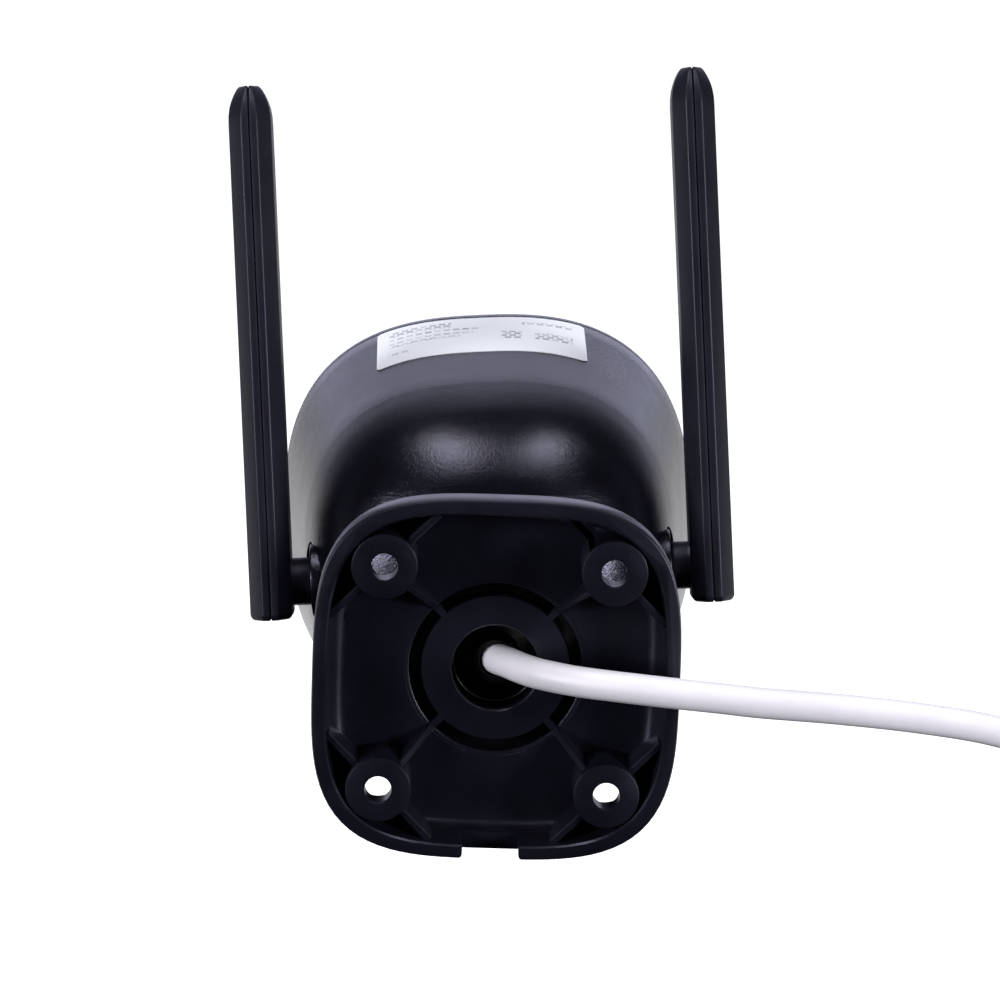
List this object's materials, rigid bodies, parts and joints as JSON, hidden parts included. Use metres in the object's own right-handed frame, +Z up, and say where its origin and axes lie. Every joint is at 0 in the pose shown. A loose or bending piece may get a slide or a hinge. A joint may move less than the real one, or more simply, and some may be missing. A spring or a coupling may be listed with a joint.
{
  "type": "wireless security camera",
  "caption": "Wall-mounted wireless security camera: rounded tapered housing on a three-axis arm and square base, with folding paddle antennas and a white cable.",
  "frame": {"origin": "centre of the face of the square base that rests on the wall, on the pan axis", "axes": "+Z up on the wall, +Y out of the base into the wall, so the lens looks along -Y; +X to the left of a person who faces the wall side of the base"},
  "size_m": [0.2019, 0.1695, 0.3193],
  "materials": {
    "base_black": "moulded polypropylene, satin with a fine grain",
    "housing_black": "moulded ABS with a fine spark texture",
    "antenna_black": "moulded ABS, smooth satin",
    "chassis_black": "matt black moulding",
    "rubber_black": "soft matt rubber",
    "seal_grey": "soft matt silicone",
    "screw_steel": "plain zinc-plated steel",
    "shield_steel": "tinned sheet steel",
    "sink_aluminium": "plain extruded aluminium",
    "standoff_brass": "turned brass",
    "contact_gold": "gold flash on spring wire",
    "window_glass": "smoked gloss cover",
    "lens_glass": "coated optical glass",
    "filter_glass": "coated filter glass",
    "led_dark": "dark clear epoxy",
    "led_yellow": "phosphor under clear resin in a bright cup",
    "chip_black": "moulded epoxy",
    "chip_ceramic": "ceramic package",
    "circuit_green": "solder mask on glass epoxy",
    "button_grey": "moulded acetal",
    "label_film": "printed polyester film, semi-gloss",
    "cable_white": "extruded PVC, satin",
    "socket_white": "moulded PVC",
    "socket_black": "moulded PVC"
  },
  "bodies": {
    "base": {"base_plate": "base_black", "cable_grommet": "rubber_black", "pan_lock_ring": "base_black", "cable_main": "cable_white", "cable_splitter": "cable_white", "network_tail": "cable_white", "network_socket": "socket_white", "network_contacts": "contact_gold", "power_tail": "cable_white", "power_socket": "socket_black", "power_pin": "screw_steel"},
    "turntable": {"turntable": "base_black", "tilt_bolt": "screw_steel", "tilt_nut": "screw_steel"},
    "arm": {"knuckle_arm": "base_black", "roll_lock_ring": "base_black", "roll_retainer": "screw_steel"},
    "head": {"rear_housing": "housing_black", "front_bezel": "housing_black", "front_window": "window_glass", "window_gasket": "rubber_black", "optics_chassis": "chassis_black", "chassis_screws": "screw_steel", "lens_barrel": "chassis_black", "lens_elements": "lens_glass", "lens_holder": "chassis_black", "ir_cut_filter": "filter_glass", "image_sensor": "chip_ceramic", "sensor_board": "circuit_green", "led_board": "circuit_green", "ir_leds": "led_dark", "spot_leds": "led_yellow", "light_sensor": "chip_ceramic", "microphone": "shield_steel", "main_board": "circuit_green", "board_screws": "screw_steel", "main_chips": "chip_black", "shield_can": "shield_steel", "heat_sink": "sink_aluminium", "board_standoffs": "standoff_brass", "speaker": "chassis_black", "io_board": "circuit_green", "card_socket": "shield_steel", "card_cover": "housing_black", "cover_seal": "seal_grey", "cover_screws": "screw_steel", "rating_label": "label_film"},
    "antenna_left": {"antenna_outer_l": "antenna_black", "antenna_inner_l": "antenna_black", "antenna_hinge_l": "antenna_black", "antenna_nut_l": "screw_steel", "antenna_board_l": "circuit_green"},
    "antenna_right": {"antenna_outer_r": "antenna_black", "antenna_inner_r": "antenna_black", "antenna_hinge_r": "antenna_black", "antenna_nut_r": "screw_steel", "antenna_board_r": "circuit_green"},
    "reset": {"reset_button": "button_grey"}
  },
  "joints": [
    {"name": "pan", "type": "hinge", "parent": "base", "child": "turntable", "pos_m": [0, -0.015, 0], "axis": [0, 1, 0], "range_deg": [-180, 180]},
    {"name": "tilt", "type": "hinge", "parent": "turntable", "child": "arm", "pos_m": [0, -0.038, 0], "axis": [1, 0, 0], "range_deg": [0, 60]},
    {"name": "roll", "type": "hinge", "parent": "arm", "child": "head", "pos_m": [0, -0.068, 0], "axis": [0, 1, 0], "range_deg": [-90, 90]},
    {"name": "antenna_left_fold", "type": "hinge", "parent": "head", "child": "antenna_left", "pos_m": [0.0365, -0.0893, -0.00274], "axis": [0.9972, 0, -0.075], "range_deg": [-25, 35]},
    {"name": "antenna_right_fold", "type": "hinge", "parent": "head", "child": "antenna_right", "pos_m": [-0.0365, -0.0893, 0.00274], "axis": [0.9972, 0, -0.075], "range_deg": [-25, 35]},
    {"name": "reset_press", "type": "slide", "parent": "head", "child": "reset", "axis": [0.075, 0, 0.9972], "range_m": [0, 0.0003], "stiffness_N_per_m": 1500, "springref_m": -0.0005}
  ]
}
